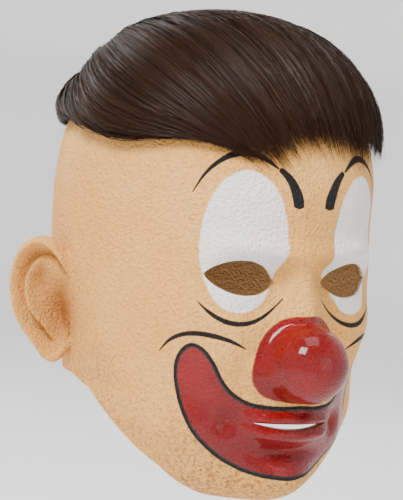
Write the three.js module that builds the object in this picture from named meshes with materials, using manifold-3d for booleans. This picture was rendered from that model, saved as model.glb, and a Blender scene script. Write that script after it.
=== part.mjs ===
// A full-head latex clown mask with a combed hairpiece glued to its crown.
// Millimetres, +Z up. The face looks along -Y and the mask's own left is +X.
// The origin is the highest point of the hollow, on which the mask hangs when worn.
import * as THREE from "three";
import { mergeVertices } from "three/addons/utils/BufferGeometryUtils.js";
import Module from "manifold-3d";

const wasm = await Module();
wasm.setup();

// The head form, on the outside of the latex
const HEAD_HEIGHT = 232;
const HEAD_WIDTH = 166;
const FACE_DEPTH = 90;
const NAPE_DEPTH = 104;
const LATEX = 2.8;
// The share of the nose wing's rise that the hollow leaves out, which thickens the wall there
const WING_WALL = 0.25;

// The face is five eyes wide, and its lumps are told in reliefs
const EYE = HEAD_WIDTH / 5;
const RELIEF = 10;

// Openings
const EYE_HOLE_WIDTH = 36;
const EYE_HOLE_UPPER = 9.5;
const EYE_HOLE_LOWER = 8.5;
const EYE_HOLE_TILT = 4;
const MOUTH_GAP_WIDTH = 46;
const MOUTH_GAP = 3.5;
const EAR_SLOT_WIDTH = 3.4;
const EAR_SLOT_HEIGHT = 9;

// The ball of the nose
const BALL_RADIUS = 20;
const BALL_STAND = 12;

// Ears
const EAR_HEIGHT = 68;
const EAR_WIDTH = 42;
const EAR_THICKNESS = 5.5;
const EAR_STAND_OFF = 34;
const EAR_LEAN = 8;

// Hairpiece
const HAIR_REACH = 100;
const HAIR_LOFT = 15;
const HAIR_MAT = 8;
const LOCK_WIDTH = 19;
const LOCK_THICKNESS = 9;
const GLUE_GAP = 0.4;

// How finely the surfaces are faceted
const SKIN_COLUMNS = 56;
const SKIN_ROWS = 40;
const HOLLOW_COLUMNS = 34;
const HOLLOW_ROWS = 22;
const CLEAR_OF_ALL = 400;

const LATEX_COLOUR = 0xe8c49a;
const HAIR_COLOUR = 0x3a241b;

// Level sections of the plain head. down is a share of HEAD_HEIGHT, side of half of HEAD_WIDTH,
// front of FACE_DEPTH and back of NAPE_DEPTH.
const HEAD_SECTIONS = [
  { down: 0.0, side: 0.0, front: 0.0, back: 0.0 },
  { down: 0.01, side: 0.28, front: 0.24, back: 0.27 },
  { down: 0.04, side: 0.54, front: 0.48, back: 0.53 },
  { down: 0.09, side: 0.74, front: 0.69, back: 0.74 },
  { down: 0.16, side: 0.885, front: 0.86, back: 0.89 },
  { down: 0.24, side: 0.96, front: 0.955, back: 0.97 },
  { down: 0.33, side: 0.99, front: 1.0, back: 1.0 },
  { down: 0.43, side: 1.0, front: 1.015, back: 0.985 },
  { down: 0.52, side: 1.0, front: 1.0, back: 0.93 },
  { down: 0.61, side: 0.985, front: 0.985, back: 0.84 },
  { down: 0.7, side: 0.955, front: 0.965, back: 0.75 },
  { down: 0.79, side: 0.915, front: 0.95, back: 0.69 },
  { down: 0.87, side: 0.85, front: 0.935, back: 0.65 },
  { down: 0.93, side: 0.765, front: 0.905, back: 0.62 },
  { down: 0.975, side: 0.66, front: 0.85, back: 0.6 },
  { down: 1.005, side: 0.52, front: 0.73, back: 0.56 },
  { down: 1.018, side: 0.38, front: 0.57, back: 0.48 },
  { down: 1.022, side: 0.24, front: 0.4, back: 0.34 },
];

// Soft lumps and hollows of the face, alike on both sides. across and wide are in EYEs, down and
// tall in HEAD_HEIGHTs, turn in degrees and rise in RELIEFs.
const LUMPS = [
  { name: "forehead", across: 0.75, down: 0.3, wide: 0.95, tall: 0.085, turn: 0, rise: 0.22 },
  { name: "brow", across: 0.8, down: 0.44, wide: 0.62, tall: 0.026, turn: -6, rise: 0.4 },
  { name: "brow_end", across: 1.45, down: 0.455, wide: 0.45, tall: 0.034, turn: 25, rise: 0.3 },
  { name: "glabella", across: 0, down: 0.445, wide: 0.4, tall: 0.035, turn: 0, rise: 0.25 },
  { name: "socket", across: 0.98, down: 0.503, wide: 0.6, tall: 0.044, turn: 0, rise: -1.05 },
  { name: "inner_socket", across: 0.46, down: 0.5, wide: 0.24, tall: 0.04, turn: 0, rise: -0.45 },
  { name: "lids", across: 1.0, down: 0.508, wide: 0.46, tall: 0.034, turn: 0, rise: 0.85 },
  { name: "under_eye", across: 0.95, down: 0.572, wide: 0.6, tall: 0.016, turn: 6, rise: -0.14 },
  { name: "cheekbone", across: 1.55, down: 0.59, wide: 0.7, tall: 0.06, turn: 20, rise: 0.45 },
  { name: "cheek", across: 1.15, down: 0.665, wide: 0.5, tall: 0.062, turn: 10, rise: 0.55 },
  { name: "cheek_hollow", across: 1.95, down: 0.77, wide: 0.5, tall: 0.08, turn: 0, rise: -0.18 },
  { name: "temple", across: 2.1, down: 0.4, wide: 0.6, tall: 0.085, turn: 0, rise: -0.25 },
  { name: "muzzle", across: 0, down: 0.8, wide: 0.95, tall: 0.075, turn: 0, rise: 0.85 },
  { name: "mouth_corner", across: 1.06, down: 0.822, wide: 0.2, tall: 0.028, turn: 0, rise: -0.4 },
  { name: "under_lip", across: 0, down: 0.884, wide: 0.62, tall: 0.018, turn: 0, rise: -0.42 },
  { name: "chin", across: 0, down: 0.945, wide: 0.66, tall: 0.048, turn: 0, rise: 0.85 },
  { name: "jowl", across: 1.45, down: 0.86, wide: 0.5, tall: 0.055, turn: 0, rise: 0.2 },
  { name: "jaw_angle", across: 2.45, down: 0.82, wide: 0.5, tall: 0.07, turn: 0, rise: 0.35 },
  { name: "nose_wing", across: 0.52, down: 0.708, wide: 0.26, tall: 0.036, turn: 0, rise: 1.1 },
];

// The nose's bridge, from its root to its tip
const BRIDGE = { root: 0.48, tip: 0.69, wide: 0.28, rise: 1.7 };
const BALL = { down: 0.68, foot: 1.15, wrap: 100, seat: 0.97 };

// The lips about the mouth's line
const MOUTH = { down: 0.822, half: 0.95, lift: 0.01 };
const LIPS = { upper: 0.034, upperRise: 0.36, lower: 0.044, lowerRise: 0.44, line: -0.12 };
const EYES = { across: 1.0, down: 0.503 };

// The mask's lower edge, seen from the side: level under the ear, then down along the jaw and up
// under the chin. Shares of FACE_DEPTH forward and of HEAD_HEIGHT down.
const EDGE = [
  { forward: -3, down: 0.772 },
  { forward: -0.1, down: 0.772 },
  { forward: 0.1, down: 0.795 },
  { forward: 0.5, down: 0.945 },
  { forward: 0.56, down: 0.99 },
  { forward: 0.56, down: 1.5 },
  { forward: -3, down: 1.5 },
];

// The ear's outline. turn is from its top towards the back of the head, reach a share of half of
// EAR_HEIGHT on the upright and of EAR_WIDTH on the level.
const EAR_OUTLINE = [
  { turn: 0, reach: 0.98 },
  { turn: 40, reach: 1.06 },
  { turn: 80, reach: 1.04 },
  { turn: 120, reach: 0.88 },
  { turn: 155, reach: 0.86 },
  { turn: 185, reach: 1.0 },
  { turn: 215, reach: 0.8 },
  { turn: 260, reach: 0.7 },
  { turn: 310, reach: 0.82 },
];
const EAR_RINGS_FRONT = [0.12, 0.3, 0.45, 0.57, 0.68, 0.78, 0.88, 0.96];
const EAR_RINGS_BACK = [1.0, 0.93, 0.7, 0.4, 0.12];
const EAR_COLUMNS = 18;
const EAR_SEAT = { turn: 94, down: 0.6, sunk: 0.3 };
const EAR_RELIEF = { dish: 0.5, rim: 0.85, groove: 0.45, fold: 0.75, bowl: 1.9, tragus: 0.9, root: 2.6 };
const BOWL = { forward: 0.1, up: -0.1, wide: 0.3, tall: 0.24 };
const TRAGUS = { forward: 0.3, up: -0.16, wide: 0.12, tall: 0.1 };
const EAR_SLOT = { forward: 0.14, up: -0.24 };

// Locks of hair fan out from a whorl at the back of the crown. end is the turn from straight
// ahead, towards the mask's left, of the place on the hairline where a lock ends. reach, swing
// and loft are shares of HAIR_REACH, HAIR_REACH and HAIR_LOFT, and wide is a share of LOCK_WIDTH.
const WHORL = { left: -0.1, back: 0.72 };
const LOCKS = [
  { end: -40, reach: 1.0, swing: -1.14, loft: 0.55, wide: 0.8 },
  { end: -33, reach: 1.03, swing: -0.96, loft: 0.75, wide: 0.9 },
  { end: -25, reach: 1.05, swing: -0.76, loft: 0.9, wide: 1.0 },
  { end: -15, reach: 1.04, swing: -0.55, loft: 1.0, wide: 1.1 },
  { end: -4, reach: 0.98, swing: -0.34, loft: 1.0, wide: 1.1 },
  { end: 9, reach: 0.98, swing: -0.12, loft: 1.0, wide: 1.1 },
  { end: 23, reach: 1.0, swing: 0.1, loft: 1.0, wide: 1.1 },
  { end: 37, reach: 1.02, swing: 0.3, loft: 1.0, wide: 1.1 },
  { end: 52, reach: 1.0, swing: 0.48, loft: 0.9, wide: 1.0 },
  { end: 70, reach: 0.98, swing: 0.6, loft: 0.75, wide: 0.9 },
  { end: 92, reach: 0.96, swing: 0.6, loft: 0.6, wide: 0.9 },
  { end: 120, reach: 0.98, swing: 0.35, loft: 0.5, wide: 0.9 },
  { end: 150, reach: 1.04, swing: 0.12, loft: 0.45, wide: 0.9 },
  { end: 180, reach: 1.06, swing: 0, loft: 0.45, wide: 0.9 },
  { end: 210, reach: 1.04, swing: -0.12, loft: 0.45, wide: 0.9 },
  { end: 240, reach: 0.98, swing: -0.3, loft: 0.5, wide: 0.9 },
  { end: 268, reach: 0.96, swing: -0.5, loft: 0.5, wide: 0.8 },
];
const LOCK_RINGS = 8;
const LOCK_SIDES = 6;
const MAT_COLUMNS = 24;
const MAT_RINGS = 4;

const radians = THREE.MathUtils.degToRad;
const { clamp, lerp } = THREE.MathUtils;

// 0 below low, 1 above high and smooth between; high may be the smaller.
function fade(value, low, high) {
  const share = clamp((value - low) / (high - low), 0, 1);
  return share * share * (3 - 2 * share);
}

// A bell of height 1 over an ellipse.
function bell(across, along, wide, tall) {
  return Math.exp(-((across / wide) ** 2) - (along / tall) ** 2);
}

// A smooth curve through values at knots, level at its start when asked.
function smoothCurve(knots, values, levelStart = false) {
  const last = knots.length - 1;
  const gap = knots.slice(1).map((knot, i) => knot - knots[i]);
  const slope = gap.map((width, i) => (values[i + 1] - values[i]) / width);
  const upper = [levelStart ? 0.5 : 0];
  const right = [levelStart ? (3 * slope[0]) / gap[0] : 0];
  for (let i = 1; i < last; i++) {
    const pivot = 2 * (gap[i - 1] + gap[i]) - gap[i - 1] * upper[i - 1];
    upper.push(gap[i] / pivot);
    right.push((6 * (slope[i] - slope[i - 1]) - gap[i - 1] * right[i - 1]) / pivot);
  }
  const bend = Array(last + 1).fill(0);
  for (let i = last - 1; i >= 0; i--) bend[i] = right[i] - upper[i] * bend[i + 1];
  return (at) => {
    let i = 0;
    while (i < last - 1 && at > knots[i + 1]) i++;
    const t = at - knots[i];
    const start = slope[i] - (gap[i] * (2 * bend[i] + bend[i + 1])) / 6;
    return values[i] + t * (start + t * (bend[i] / 2 + (t * (bend[i + 1] - bend[i])) / (6 * gap[i])));
  };
}

// Levels run from 0 at the crown to 1 under the chin, in step with the length of the head's outline.
function headCurves() {
  const reach = (row) => (row.side * HEAD_WIDTH) / 4 + (row.front * FACE_DEPTH) / 2;
  const knots = [0];
  HEAD_SECTIONS.slice(1).forEach((row, i) => {
    const before = HEAD_SECTIONS[i];
    const step = Math.hypot((row.down - before.down) * HEAD_HEIGHT, reach(row) - reach(before));
    knots.push(knots[i] + step);
  });
  const length = knots.at(-1);
  const levels = knots.map((knot) => knot / length);
  const column = (name, size, levelStart) =>
    smoothCurve(levels, HEAD_SECTIONS.map((row) => row[name] * size), levelStart);
  return {
    length,
    down: column("down", HEAD_HEIGHT, true),
    side: column("side", HEAD_WIDTH / 2),
    front: column("front", FACE_DEPTH),
    back: column("back", NAPE_DEPTH),
  };
}
const HEAD = headCurves();

// A point of the plain head. angle is from straight ahead towards the mask's left.
function plainPoint(angle, level) {
  const sine = Math.sin(angle);
  const cosine = Math.cos(angle);
  const depth = Math.max(cosine > 0 ? HEAD.front(level) : HEAD.back(level), 1e-6);
  const side = Math.max(HEAD.side(level), 1e-6);
  const radius = 1 / Math.hypot(sine / side, cosine / depth);
  return new THREE.Vector3(radius * sine, -radius * cosine, -HEAD.down(level));
}

// The way out of the plain head at a point.
function plainNormal(angle, level) {
  const step = 1e-3;
  const round = plainPoint(angle + step, level).sub(plainPoint(angle - step, level));
  const drop = plainPoint(angle, Math.min(level + step, 1)).sub(plainPoint(angle, Math.max(level - step, 0)));
  return drop.cross(round).normalize();
}

// The share that one lump adds to the face's height, in reliefs.
function lumpRise(lump, away, down) {
  const x = (away - lump.across) * EYE;
  const y = (down - lump.down) * HEAD_HEIGHT;
  const turn = radians(lump.turn);
  const along = x * Math.cos(turn) + y * Math.sin(turn);
  const upright = y * Math.cos(turn) - x * Math.sin(turn);
  return lump.rise * bell(along, upright, lump.wide * EYE, lump.tall * HEAD_HEIGHT);
}

// The height of the face over the plain head, without its lips and ball.
function faceRise(across, down) {
  const away = Math.abs(across);
  let rise = 0;
  for (const lump of LUMPS) rise += lumpRise(lump, away, down);
  const along = clamp((down - BRIDGE.root) / (BRIDGE.tip - BRIDGE.root), 0, 1);
  const starts = fade(down, BRIDGE.root - 0.05, BRIDGE.root + 0.02);
  const ends = 1 - fade(down, BRIDGE.tip + 0.015, BRIDGE.tip + 0.055);
  const wide = BRIDGE.wide * (0.9 + 0.35 * along);
  rise += BRIDGE.rise * (0.12 + 0.88 * along ** 1.15) * starts * ends * bell(away, 0, wide, 1);
  return rise * RELIEF;
}

// The height of the mouth's line over the level of its middle grows towards its corners.
function mouthDown(away) {
  return MOUTH.down - MOUTH.lift * Math.min(away / MOUTH.half, 1.5) ** 2;
}

// The rise of the lips at a place on the face.
function lipRise(across, down) {
  const away = Math.abs(across);
  const share = away / MOUTH.half;
  const above = mouthDown(away) - down;
  const round = Math.sqrt(Math.max(1 - share * share, 0));
  const upper = above / (LIPS.upper * (0.3 + 0.7 * round));
  const lower = -above / (LIPS.lower * (0.25 + 0.75 * round));
  const roll = (edge) => (1 - fade(edge, 0.5, 1.15)) * (0.45 + 0.55 * fade(edge, 0, 0.5));
  const lip = above > 0 ? LIPS.upperRise * roll(upper) : LIPS.lowerRise * roll(lower);
  const line = LIPS.line * Math.exp(-((above / 0.007) ** 2));
  return (lip + line) * (1 - fade(share, 0.6, 1.1)) * RELIEF;
}

// Where the face's relief counts: not at the back of the head, nor under the chin.
function faceShare(angle, level) {
  return (1 - fade(Math.abs(angle), 1.75, 2.3)) * (1 - fade(level, 0.9, 0.97));
}

// The outside of the latex, spread by a margin.
function skinPoint(angle, level, margin = 0) {
  const point = plainPoint(angle, level);
  const normal = plainNormal(angle, level);
  const across = (angle * FACE_DEPTH) / EYE;
  const down = -point.z / HEAD_HEIGHT;
  const rise = (faceRise(across, down) + lipRise(across, down)) * faceShare(angle, level);
  point.addScaledVector(normal, rise + margin);
  const aside = across * EYE;
  const above = (BALL.down - down) * HEAD_HEIGHT;
  const away = Math.hypot(aside, above);
  const share = away / (BALL.foot * BALL_RADIUS);
  const onBall = level < 0.9 ? 1 - fade(share, 0.78, 1.15) : 0;
  if (onBall > 0) point.lerp(ballPoint(aside, above, away, share), onBall);
  return point;
}

// The disc of the face under the ball is wrapped round a sphere.
function ballPoint(aside, above, away, share) {
  const turn = Math.min(share, 1) * radians(BALL.wrap);
  const out = (BALL_RADIUS * Math.sin(turn)) / Math.max(away, 1e-9);
  const centre = -(FACE_DEPTH * BALL.seat + BALL_STAND);
  return new THREE.Vector3(
    out * aside,
    centre - BALL_RADIUS * Math.cos(turn),
    -BALL.down * HEAD_HEIGHT + out * above,
  );
}

// The inside of the latex, which leaves out the lips and the ball.
function hollowPoint(angle, level) {
  const point = plainPoint(angle, level);
  const across = (angle * FACE_DEPTH) / EYE;
  const down = -point.z / HEAD_HEIGHT;
  const wing = lumpRise(LUMPS.find((lump) => lump.name === "nose_wing"), Math.abs(across), down);
  const rise = (faceRise(across, down) - WING_WALL * wing * RELIEF) * faceShare(angle, level);
  return point.addScaledVector(plainNormal(angle, level), rise - LATEX);
}

// Angles round the head, closest together across the face.
function roundAngles(columns) {
  return Array.from({ length: columns }, (_, i) => {
    const u = 1 - (2 * i) / columns;
    return Math.PI * (0.42 * u + 0.58 * u ** 3);
  });
}

// Levels down the head, closest together from the brow to the chin.
const LEVEL_BANDS = [
  { to: 0.3, rows: 0.15 },
  { to: 0.6, rows: 0.3 },
  { to: 0.86, rows: 0.42 },
  { to: 1, rows: 0.13 },
];
function downLevels(rows) {
  const levels = [0.02];
  for (const band of LEVEL_BANDS) {
    const from = levels.at(-1);
    const count = Math.round(rows * band.rows);
    for (let i = 1; i <= count; i++) levels.push(lerp(from, band.to, i / count));
  }
  return levels;
}

function solidFrom(geometry) {
  const bare = new THREE.BufferGeometry().setIndex(geometry.index);
  bare.setAttribute("position", geometry.attributes.position);
  const merged = mergeVertices(bare, 1e-4);
  return new wasm.Manifold(
    new wasm.Mesh({
      numProp: 3,
      vertProperties: merged.attributes.position.array,
      triVerts: new Uint32Array(merged.index.array),
    }),
  );
}

// A closed skin through rings of points, fanned shut at the middle of its first and last ring.
// Rings turn clockwise when seen from the first towards the last.
function loftSolid(rings) {
  const count = rings[0].length;
  const middle = (ring) =>
    ring.reduce((sum, point) => sum.add(point), new THREE.Vector3()).divideScalar(count);
  const points = [...rings.flat(), middle(rings[0]), middle(rings.at(-1))];
  const faces = [];
  rings.slice(1).forEach((ring, i) => {
    for (let j = 0; j < count; j++) {
      const here = i * count + j;
      const beside = i * count + ((j + 1) % count);
      faces.push(here, beside, here + count, beside, beside + count, here + count);
    }
  });
  const start = points.length - 2;
  const end = points.length - 1;
  const lastRing = (rings.length - 1) * count;
  for (let j = 0; j < count; j++) {
    const beside = (j + 1) % count;
    faces.push(start, beside, j, end, lastRing + j, lastRing + beside);
  }
  return solidFrom(new THREE.BufferGeometry().setFromPoints(points).setIndex(faces));
}

function headSolid(pointAt, columns, rows) {
  const angles = roundAngles(columns);
  return loftSolid(downLevels(rows).map((level) => angles.map((angle) => pointAt(angle, level))));
}

// A flat outline pushed through along Y.
function throughFace(shape, x, z, turn) {
  const prism = new THREE.ExtrudeGeometry(shape, { depth: CLEAR_OF_ALL, bevelEnabled: false, curveSegments: 8 });
  prism.rotateZ(turn);
  prism.rotateX(Math.PI / 2);
  prism.translate(x, -FACE_DEPTH / 3, z);
  return solidFrom(prism);
}

// An almond: two arcs between the corners.
function almond(width, upper, lower) {
  const shape = new THREE.Shape();
  shape.moveTo(-width / 2, 0);
  shape.bezierCurveTo(-width / 4, -lower * 1.33, width / 4, -lower * 1.33, width / 2, 0);
  shape.bezierCurveTo(width / 4, upper * 1.33, -width / 4, upper * 1.33, -width / 2, 0);
  return shape;
}

function eyeHole(side) {
  const aside = FACE_DEPTH * Math.sin((EYES.across * EYE) / FACE_DEPTH);
  const shape = almond(EYE_HOLE_WIDTH, EYE_HOLE_UPPER, EYE_HOLE_LOWER);
  return throughFace(shape, side * aside, -EYES.down * HEAD_HEIGHT, side * radians(EYE_HOLE_TILT));
}

function mouthGap() {
  const rise = MOUTH.lift * HEAD_HEIGHT * (MOUTH_GAP_WIDTH / 2 / (MOUTH.half * EYE)) ** 2;
  const half = MOUTH_GAP_WIDTH / 2;
  const shape = new THREE.Shape();
  shape.moveTo(-half, rise);
  shape.quadraticCurveTo(0, -rise - MOUTH_GAP, half, rise);
  shape.quadraticCurveTo(0, -rise + MOUTH_GAP, -half, rise);
  return throughFace(shape, 0, -MOUTH.down * HEAD_HEIGHT, 0);
}

// All that lies below the mask's lower edge.
function belowEdge() {
  const shape = new THREE.Shape(
    EDGE.map((corner) => new THREE.Vector2(-corner.forward * FACE_DEPTH, -corner.down * HEAD_HEIGHT)),
  );
  const prism = new THREE.ExtrudeGeometry(shape, { depth: CLEAR_OF_ALL, bevelEnabled: false });
  prism.rotateX(Math.PI / 2);
  prism.rotateZ(Math.PI / 2);
  prism.translate(-CLEAR_OF_ALL / 2, 0, 0);
  return solidFrom(prism);
}

// The ear's outline at a turn from its top towards the back of the head.
function earReach() {
  const wrapped = [-1, 0, 1].flatMap((lap) =>
    EAR_OUTLINE.map((row) => ({ turn: radians(row.turn + 360 * lap), reach: row.reach })),
  );
  const curve = smoothCurve(wrapped.map((row) => row.turn), wrapped.map((row) => row.reach));
  return (turn) => curve(turn);
}
const EAR_REACH = earReach();

// The front of the ear over its middle plane: rim, groove, fold, bowl and tragus.
function earRise(share, turn, forward, up) {
  const onRim = fade(Math.cos(turn - radians(60)), -0.75, -0.2);
  const onFold = fade(Math.cos(turn - radians(95)), -0.1, 0.45);
  const rim = EAR_RELIEF.rim * onRim * Math.exp(-(((share - 0.9) / 0.1) ** 2));
  const groove = EAR_RELIEF.groove * onRim * Math.exp(-(((share - 0.74) / 0.08) ** 2));
  const fold = EAR_RELIEF.fold * onFold * Math.exp(-(((share - 0.56) / 0.1) ** 2));
  const bowl = EAR_RELIEF.bowl * bell(forward - BOWL.forward, up - BOWL.up, BOWL.wide, BOWL.tall);
  const tragus =
    EAR_RELIEF.tragus * bell(forward - TRAGUS.forward, up - TRAGUS.up, TRAGUS.wide, TRAGUS.tall);
  return (EAR_RELIEF.dish * share * share + rim - groove + fold - bowl + tragus) * EAR_THICKNESS;
}

// The ear's own axes: forward along the ear, up along it, and out of its front.
function earAxes(side) {
  const off = radians(EAR_STAND_OFF);
  const lean = radians(EAR_LEAN);
  const forward = new THREE.Vector3(-side * Math.sin(off), -Math.cos(off), 0);
  const upright = new THREE.Vector3(0, 0, 1);
  const up = upright.multiplyScalar(Math.cos(lean)).addScaledVector(forward, -Math.sin(lean));
  const level = forward.clone().multiplyScalar(Math.cos(lean)).add(new THREE.Vector3(0, 0, Math.sin(lean)));
  const out = new THREE.Vector3(side * Math.cos(off), -Math.sin(off), 0);
  return { forward: level, up, out };
}

// The middle of the ear, set so that its front edge is sunk in the head.
function earCentre(side, axes) {
  const level = levelAt(EAR_SEAT.down);
  const seat = plainPoint(side * radians(EAR_SEAT.turn), level);
  return seat.addScaledVector(axes.forward, -EAR_SEAT.sunk * EAR_WIDTH);
}

function levelAt(down) {
  let low = 0;
  let high = 0.9;
  for (let i = 0; i < 40; i++) {
    const middle = (low + high) / 2;
    if (HEAD.down(middle) < down * HEAD_HEIGHT) low = middle;
    else high = middle;
  }
  return low;
}

function earPoint(side, share, turn, front) {
  const axes = earAxes(side);
  const reach = EAR_REACH(turn) * share;
  const forward = -Math.sin(turn) * reach * 0.5;
  const up = Math.cos(turn) * reach * 0.5;
  const rise = earRise(share, turn, forward, up);
  const thick = EAR_THICKNESS * Math.sqrt(1 - Math.min(share, 1) ** 6) * 0.9 + EAR_THICKNESS * 0.25;
  const root = EAR_RELIEF.root * EAR_THICKNESS * bell(forward - 0.2, up + 0.05, 0.22, 0.3);
  const height = front ? rise : Math.min(rise, 0.3 * EAR_THICKNESS) - thick - root;
  return earCentre(side, axes)
    .addScaledVector(axes.forward, forward * EAR_WIDTH)
    .addScaledVector(axes.up, up * EAR_HEIGHT)
    .addScaledVector(axes.out, height);
}

function earSolid(side) {
  const turns = Array.from({ length: EAR_COLUMNS }, (_, i) => (side * i * 2 * Math.PI) / EAR_COLUMNS);
  const ring = (share, front) => turns.map((turn) => earPoint(side, share, turn, front));
  return loftSolid([
    ...EAR_RINGS_FRONT.map((share) => ring(share, true)),
    ...EAR_RINGS_BACK.map((share) => ring(share, false)),
  ]);
}

function earSlot(side) {
  const axes = earAxes(side);
  const shape = new THREE.Shape();
  const half = (EAR_SLOT_HEIGHT - EAR_SLOT_WIDTH) / 2;
  shape.absarc(0, half, EAR_SLOT_WIDTH / 2, 0, Math.PI, false);
  shape.absarc(0, -half, EAR_SLOT_WIDTH / 2, Math.PI, 2 * Math.PI, false);
  const prism = new THREE.ExtrudeGeometry(shape, { depth: FACE_DEPTH, bevelEnabled: false, curveSegments: 4 });
  prism.translate(0, 0, -FACE_DEPTH / 2);
  prism.rotateX(Math.PI / 2);
  prism.rotateZ(Math.PI / 2);
  const at = earCentre(side, axes)
    .addScaledVector(axes.forward, EAR_SLOT.forward * EAR_WIDTH)
    .addScaledVector(axes.up, EAR_SLOT.up * EAR_HEIGHT);
  prism.translate(at.x, at.y, at.z);
  return solidFrom(prism);
}

function latexMask() {
  let mask = headSolid(skinPoint, SKIN_COLUMNS, SKIN_ROWS);
  for (const side of [-1, 1]) mask = mask.add(earSolid(side));
  mask = mask.subtract(headSolid(hollowPoint, HOLLOW_COLUMNS, HOLLOW_ROWS));
  mask = mask.subtract(mouthGap()).subtract(belowEdge());
  for (const side of [-1, 1]) mask = mask.subtract(eyeHole(side)).subtract(earSlot(side));
  return mask;
}

// A point over the scalp. left and back are lengths over the crown, lift is the height over the skin.
function scalpPoint(left, back, lift) {
  const level = Math.max(Math.hypot(left, back) / HEAD.length, 1e-3);
  const angle = Math.atan2(left, -back);
  return plainPoint(angle, level).addScaledVector(plainNormal(angle, level), lift);
}

// The middle line of a lock as lengths over the crown and height over the skin, from 0 to 1.
function lockPath(lock, share) {
  const start = { left: WHORL.left * HAIR_REACH, back: WHORL.back * HAIR_REACH };
  const turn = radians(lock.end);
  const end = {
    left: Math.sin(turn) * lock.reach * HAIR_REACH,
    back: -Math.cos(turn) * lock.reach * HAIR_REACH,
  };
  const swing = lock.swing * HAIR_REACH;
  const bow = 2 * share * (1 - share) * swing;
  return {
    left: lerp(start.left, end.left, share) + bow,
    back: lerp(start.back, end.back, share),
    lift: HAIR_LOFT * lock.loft * (0.25 + 0.75 * Math.sin(Math.PI * share ** 0.9)),
  };
}

function lockSolid(lock) {
  const rings = [];
  for (let i = 0; i <= LOCK_RINGS; i++) {
    const share = i / LOCK_RINGS;
    const here = lockPath(lock, share);
    const ahead = lockPath(lock, share + 0.01);
    const middle = scalpPoint(here.left, here.back, here.lift);
    const next = scalpPoint(ahead.left, ahead.back, ahead.lift);
    const skin = scalpPoint(here.left, here.back, 0);
    const along = next.sub(middle).normalize();
    const over = middle.clone().sub(skin).normalize();
    const across = over.clone().cross(along).normalize();
    const taper = 0.25 + 0.75 * Math.sqrt(Math.sin(Math.PI * clamp(share, 0.03, 0.97)));
    const ring = [];
    for (let j = 0; j < LOCK_SIDES; j++) {
      const turn = (2 * Math.PI * j) / LOCK_SIDES;
      const point = middle.clone();
      point.addScaledVector(across, (Math.cos(turn) * taper * lock.wide * LOCK_WIDTH) / 2);
      const rise = (Math.sin(turn) * taper * LOCK_THICKNESS) / 2;
      point.addScaledVector(over, rise < -0.01 ? -here.lift - LATEX / 2 : rise);
      ring.push(point);
    }
    rings.push(ring);
  }
  return loftSolid(rings);
}

// The mat that the locks are sewn to, from the crown out to the hairline.
function hairMat() {
  const turns = Array.from({ length: MAT_COLUMNS }, (_, i) => (-2 * Math.PI * i) / MAT_COLUMNS);
  const ring = (share, lift) =>
    turns.map((turn) => {
      const reach = share * HAIR_REACH * 0.93;
      return scalpPoint(Math.sin(turn) * reach, -Math.cos(turn) * reach, lift);
    });
  const rings = [];
  for (let i = 0; i <= MAT_RINGS; i++) {
    const share = lerp(0.06, 1, i / MAT_RINGS);
    rings.push(ring(share, HAIR_MAT * (1 - 0.5 * share)));
  }
  rings.push(ring(1, -LATEX));
  return loftSolid(rings);
}

function hairpiece() {
  let hair = hairMat();
  for (const lock of LOCKS) hair = hair.add(lockSolid(lock));
  const clearance = (angle, level) => skinPoint(angle, level, GLUE_GAP);
  return hair.subtract(headSolid(clearance, SKIN_COLUMNS, SKIN_ROWS));
}

function meshFrom(name, solid, material) {
  const { numProp, vertProperties, triVerts } = solid.getMesh();
  const geometry = new THREE.BufferGeometry();
  const points = new THREE.InterleavedBuffer(vertProperties, numProp);
  geometry.setAttribute("position", new THREE.InterleavedBufferAttribute(points, 3, 0));
  geometry.setIndex(new THREE.BufferAttribute(triVerts, 1));
  geometry.computeVertexNormals();
  const mesh = new THREE.Mesh(geometry, material);
  mesh.name = name;
  return mesh;
}

const latex = new THREE.MeshStandardMaterial({ color: LATEX_COLOUR, roughness: 0.6, metalness: 0 });
const fibre = new THREE.MeshStandardMaterial({ color: HAIR_COLOUR, roughness: 0.5, metalness: 0 });

const mask = new THREE.Group();
mask.add(meshFrom("latex_mask", latexMask(), latex));
mask.add(meshFrom("hairpiece", hairpiece(), fibre));
mask.position.z = LATEX;

export default mask;
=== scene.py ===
from math import cos, pi, radians, sin

import bpy
import numpy as np
from mathutils import Matrix, Vector
from mathutils.kdtree import KDTree


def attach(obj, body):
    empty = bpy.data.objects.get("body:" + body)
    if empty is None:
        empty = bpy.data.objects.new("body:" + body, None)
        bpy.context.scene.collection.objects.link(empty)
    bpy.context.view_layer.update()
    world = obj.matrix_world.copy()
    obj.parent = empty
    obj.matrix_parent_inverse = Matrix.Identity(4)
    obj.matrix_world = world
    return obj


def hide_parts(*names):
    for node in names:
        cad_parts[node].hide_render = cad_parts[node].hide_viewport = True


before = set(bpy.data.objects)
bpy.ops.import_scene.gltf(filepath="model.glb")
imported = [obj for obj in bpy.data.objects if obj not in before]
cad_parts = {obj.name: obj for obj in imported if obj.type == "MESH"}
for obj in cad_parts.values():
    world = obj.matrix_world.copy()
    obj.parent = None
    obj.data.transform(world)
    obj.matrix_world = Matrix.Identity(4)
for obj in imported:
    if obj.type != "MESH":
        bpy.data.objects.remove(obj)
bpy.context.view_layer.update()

# The head form on the outside of the latex, in millimetres
HEAD_HEIGHT = 232
HEAD_WIDTH = 166
FACE_DEPTH = 90
NAPE_DEPTH = 104
LATEX = 2.8
EYE = HEAD_WIDTH / 5
RELIEF = 10
MILLIMETRE = 0.001

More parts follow.
